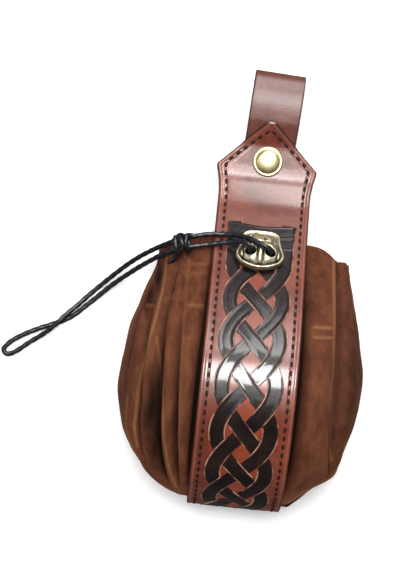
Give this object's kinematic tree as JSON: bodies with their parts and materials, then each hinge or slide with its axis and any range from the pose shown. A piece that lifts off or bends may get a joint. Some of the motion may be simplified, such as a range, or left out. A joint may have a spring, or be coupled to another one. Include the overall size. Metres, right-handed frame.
{
  "type": "medieval belt pouch",
  "caption": "Drawstring belt pouch: pleated suede bag in a plaited-pattern leather band with pointed riveted heads, belt loop, oval metal cord bead and loose cord.",
  "frame": {"origin": "middle of the back band's flat outer face, 100 mm up from the pouch's bottom", "axes": "+Y up the pouch to its belt loop, +Z out of its front, +X across it to the right as the front is seen"},
  "size_m": [0.1978, 0.239, 0.0801],
  "materials": {
    "suede": "napped brown suede",
    "tooled_leather": "glossy red-brown leather with a dark tooled plait",
    "strap_leather": "smooth brown leather",
    "rivet_brass": "satin brass",
    "aged_brass": "dark aged brass",
    "waxed_cord": "waxed braided cord"
  },
  "bodies": {
    "root": {"suede_bag": "suede", "cover_band": "tooled_leather", "belt_loop": "strap_leather", "snap_rivet": "rivet_brass", "cord_bead": "aged_brass", "drawstring_gather": "waxed_cord", "drawstring_tail": "waxed_cord", "cord_knot": "waxed_cord"}
  },
  "joints": []
}
